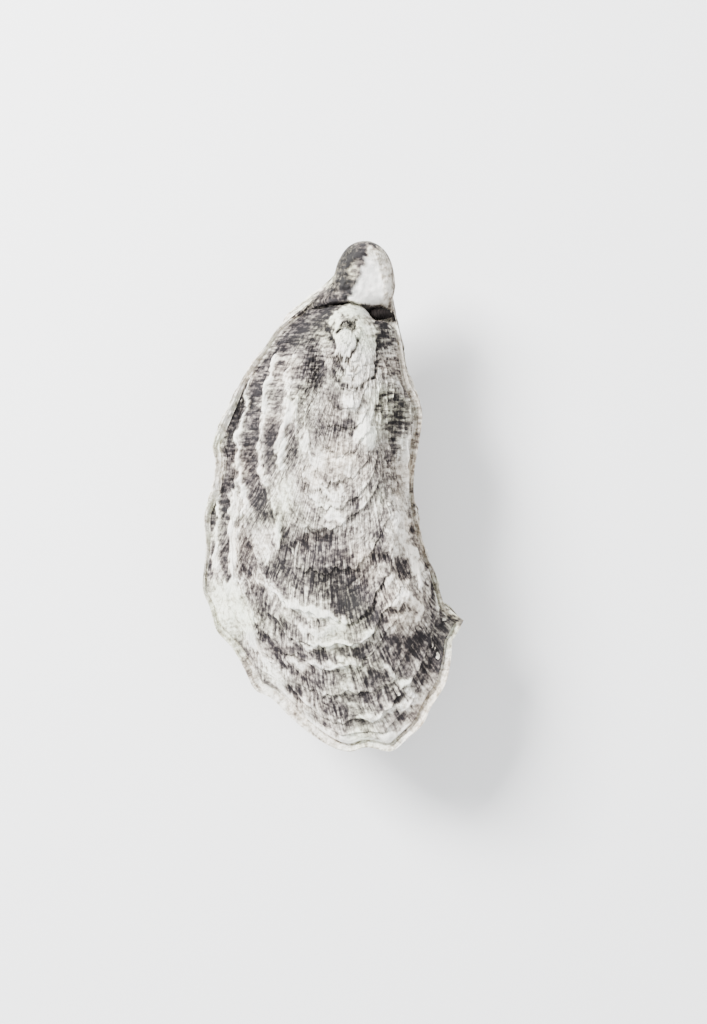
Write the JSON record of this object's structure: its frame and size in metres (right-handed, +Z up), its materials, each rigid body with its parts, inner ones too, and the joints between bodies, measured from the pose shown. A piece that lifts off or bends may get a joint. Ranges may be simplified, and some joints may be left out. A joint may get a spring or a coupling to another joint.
{
  "type": "closed oyster",
  "caption": "Whole cupped oyster in its closed shell: a deep lower valve with a long beak, a flat shingled upper valve and a dark hinge ligament.",
  "frame": {"origin": "on the surface it lies on, under the centre of its outline seen from above", "axes": "+Y towards the beak along the shell's length, +X to its right seen from above, +Z up through the flat upper valve"},
  "size_m": [0.0607, 0.1181, 0.0332],
  "materials": {
    "cup_shell": "rough chalky shell, pale grey and cream with darker growth bands",
    "lid_shell": "rough layered shell, grey with pale lips and dark purple-brown bands",
    "ligament": "dark brown horny ligament, slightly glossy"
  },
  "bodies": {
    "root": {"lower_valve": "cup_shell", "upper_valve": "lid_shell", "hinge_ligament": "ligament"}
  },
  "joints": []
}
